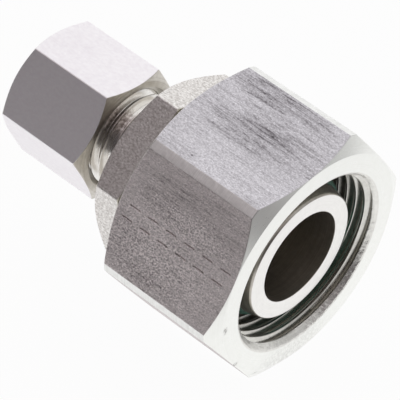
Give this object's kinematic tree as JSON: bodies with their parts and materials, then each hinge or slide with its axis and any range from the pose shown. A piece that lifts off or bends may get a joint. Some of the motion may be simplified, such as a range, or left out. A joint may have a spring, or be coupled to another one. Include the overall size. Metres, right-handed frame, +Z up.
{
  "type": "straight compression fitting",
  "caption": "Straight stainless compression fitting: hex body, small union nut for a tube at one end, swivel nut round a 24 degree sealing cone at the other.",
  "frame": {"origin": "on the fitting's axis at the inner end of the tube socket's straight wall, 0.15 mm before the tube stop", "axes": "+X along the axis from the small tube towards the sealing cone, +Z up out of the swivel nut's top flat when the fitting lies on the opposite flat"},
  "size_m": [0.046, 0.0362, 0.032],
  "materials": {
    "body_steel": "satin turned stainless steel",
    "swivel_nut_steel": "satin drawn stainless bar, fine lines along the flats",
    "small_nut_steel": "smooth satin stainless steel",
    "ring_steel": "turned stainless steel",
    "spring_wire": "drawn stainless spring wire",
    "seal_rubber": "green fluorocarbon rubber, matt"
  },
  "bodies": {
    "fitting": {"fitting_body": "body_steel", "o_ring": "seal_rubber", "retaining_ring": "spring_wire"},
    "swivel": {"swivel_nut": "swivel_nut_steel"},
    "ring": {"cutting_ring": "ring_steel"},
    "nut": {"compression_nut": "small_nut_steel"}
  },
  "joints": [
    {"name": "swivel_turn", "type": "hinge", "parent": "fitting", "child": "swivel", "pos_m": [0.0121, 0, 0], "axis": [1, 0, 0], "continuous": true},
    {"name": "ring_travel", "type": "slide", "parent": "fitting", "child": "ring", "axis": [-1, 0, 0], "range_m": [0, 0.0038]},
    {"name": "nut_turn", "type": "hinge", "parent": "ring", "child": "nut", "pos_m": [-0.0097, 0, 0], "axis": [-1, 0, 0], "range_deg": [0, 900]}
  ],
  "couplings": [
    {"joint": "ring_travel", "follows": "nut_turn", "m_per_rad": 0.00023873}
  ]
}
